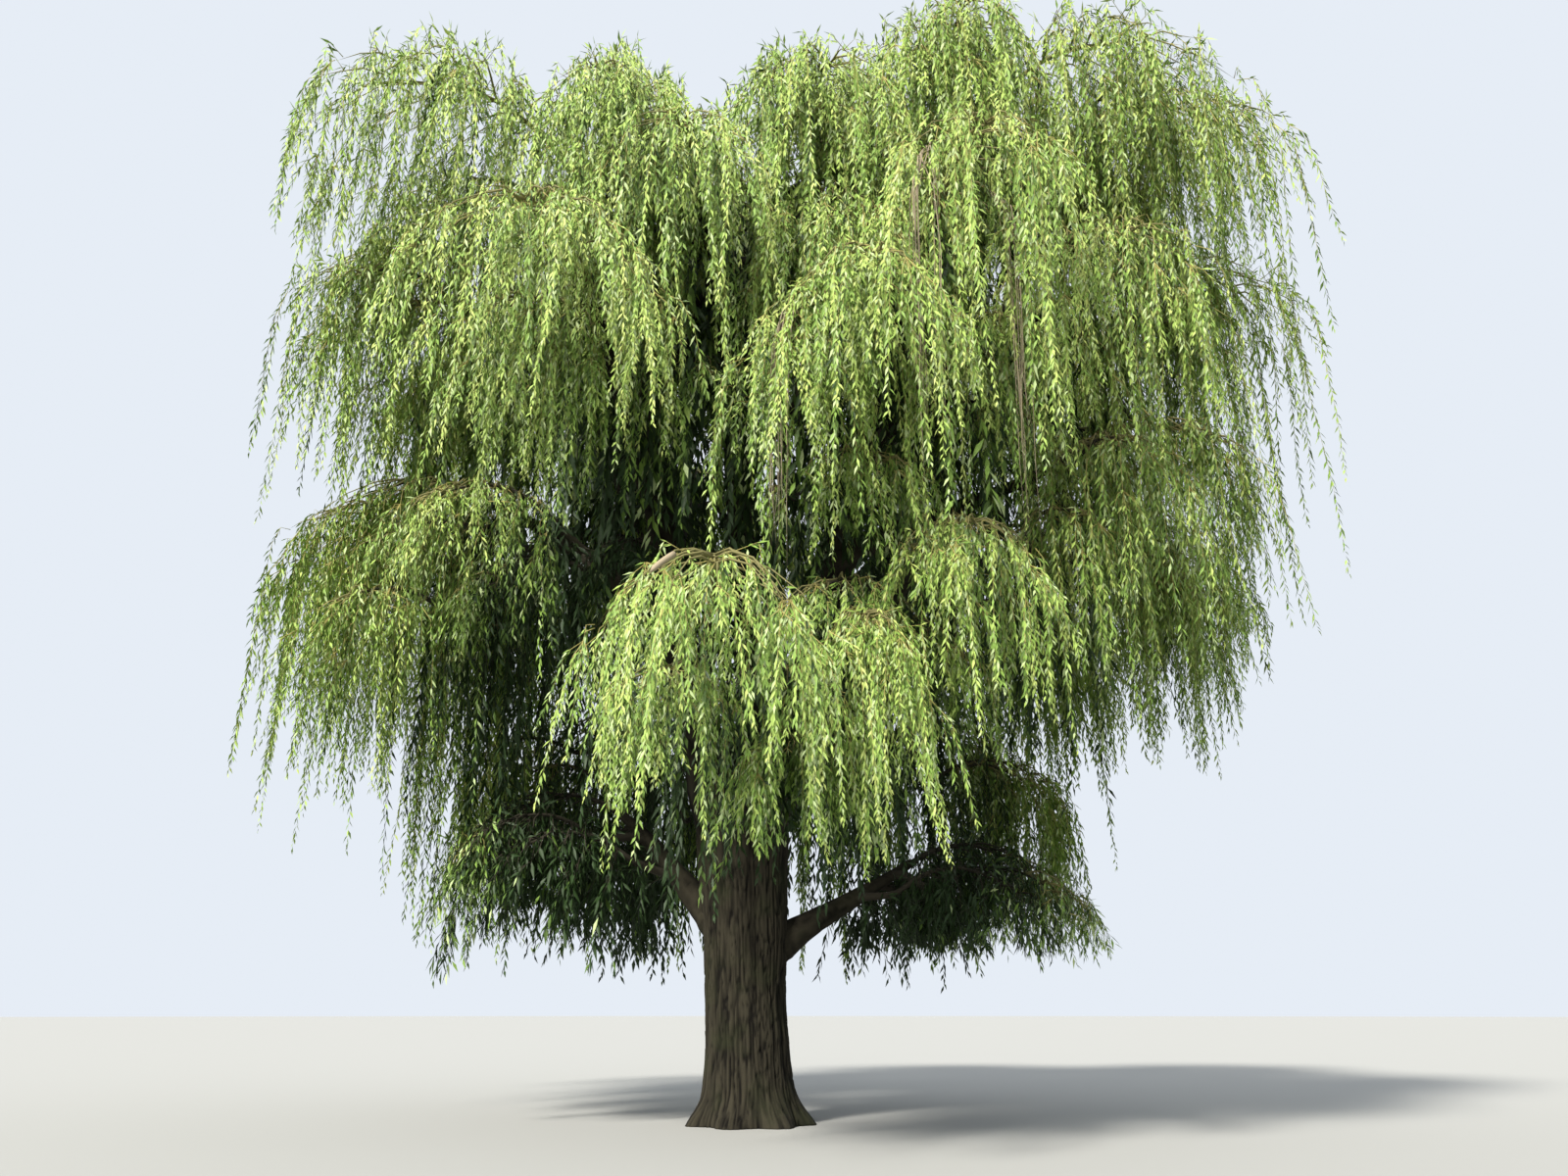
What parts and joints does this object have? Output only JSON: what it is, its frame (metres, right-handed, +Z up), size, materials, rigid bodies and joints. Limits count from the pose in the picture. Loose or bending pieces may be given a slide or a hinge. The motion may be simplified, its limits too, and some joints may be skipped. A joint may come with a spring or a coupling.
{
  "type": "willow tree",
  "caption": "Mature weeping willow in leaf: stout flared trunk, low fork, arching boughs, and hanging masses of foliage round an open space under the crown.",
  "frame": {"origin": "centre of the flat cut under the trunk, at ground level", "axes": "+Z up along the trunk, -Y towards the front of the tree as seen in the picture, +X to the right as seen from there"},
  "size_m": [18.1864, 17.5136, 17.052],
  "materials": {
    "bark": "matte",
    "foliage": "matte"
  },
  "bodies": {
    "root": {"trunk": "bark", "bough_top_left": "bark", "bough_top_right": "bark", "bough_crown": "bark", "bough_top_back_left": "bark", "bough_top_back_right": "bark", "bough_low_right": "bark", "bough_low_left": "bark", "bough_left_shoulder": "bark", "bough_left_front": "bark", "bough_left_low": "bark", "bough_left_side": "bark", "bough_front_low": "bark", "bough_centre_top": "bark", "bough_centre_high": "bark", "bough_centre_back": "bark", "bough_centre_front": "bark", "bough_far_right_top": "bark", "bough_right_shoulder": "bark", "bough_right_front": "bark", "bough_right_middle": "bark", "bough_right_curtain": "bark", "bough_right_low": "bark", "bough_front_small": "bark", "bough_back_left": "bark", "bough_back": "bark", "bough_back_low": "bark", "bough_back_right": "bark", "bough_right_side": "bark", "bough_back_right_low": "bark", "foliage_top_left": "foliage", "foliage_top_right": "foliage", "foliage_crown": "foliage", "foliage_top_back_left": "foliage", "foliage_top_back_right": "foliage", "foliage_low_right": "foliage", "foliage_low_left": "foliage", "foliage_left_shoulder": "foliage", "foliage_left_front": "foliage", "foliage_left_low": "foliage", "foliage_left_side": "foliage", "foliage_front_low": "foliage", "foliage_centre_top": "foliage", "foliage_centre_high": "foliage", "foliage_centre_back": "foliage", "foliage_centre_front": "foliage", "foliage_far_right_top": "foliage", "foliage_right_shoulder": "foliage", "foliage_right_front": "foliage", "foliage_right_middle": "foliage", "foliage_right_curtain": "foliage", "foliage_right_low": "foliage", "foliage_front_small": "foliage", "foliage_back_left": "foliage", "foliage_back": "foliage", "foliage_back_low": "foliage", "foliage_back_right": "foliage", "foliage_right_side": "foliage", "foliage_back_right_low": "foliage"}
  },
  "joints": []
}
